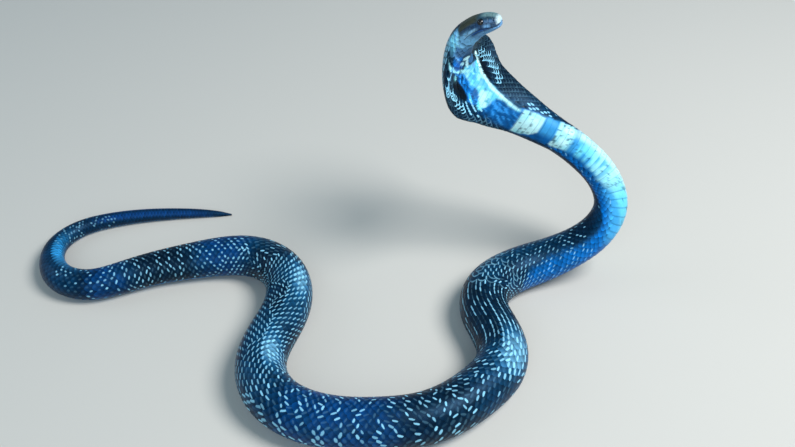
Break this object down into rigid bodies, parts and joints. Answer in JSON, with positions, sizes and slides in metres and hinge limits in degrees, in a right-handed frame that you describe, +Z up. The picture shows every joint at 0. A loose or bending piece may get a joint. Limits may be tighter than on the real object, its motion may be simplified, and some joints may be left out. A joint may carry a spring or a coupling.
{
  "type": "indian cobra",
  "caption": "Life-size Indian cobra as a still model: body in loose bends on the floor, neck reared up with the hood spread, head level, mouth closed.",
  "frame": {"origin": "on the floor, under the middle of the animal's outline", "axes": "+Z up, +X the way that the head looks and along the longest side of the pose, +Y to the animal's left"},
  "size_m": [0.5737, 0.3251, 0.2605],
  "materials": {
    "dark_back_scales": "glossy dark blue scales with pale edges",
    "hood_skin": "satin scales on stretched skin, dark rims, pale throat, two dark throat spots",
    "pale_belly_plates": "satin broad belly plates, pale with blue bands",
    "head_shields": "glossy large head shields",
    "eye_black": "wet gloss"
  },
  "bodies": {
    "root": {"head": "head_shields", "eye_right": "eye_black", "eye_left": "eye_black", "hood": "hood_skin", "neck": "pale_belly_plates", "forebody": "dark_back_scales", "body_01": "dark_back_scales", "body_02": "dark_back_scales", "body_03": "dark_back_scales", "body_04": "dark_back_scales", "body_05": "dark_back_scales", "body_06": "dark_back_scales", "body_07": "dark_back_scales", "body_08": "dark_back_scales", "body_09": "dark_back_scales", "tail_01": "dark_back_scales", "tail_02": "dark_back_scales", "tail_03": "dark_back_scales"}
  },
  "joints": []
}
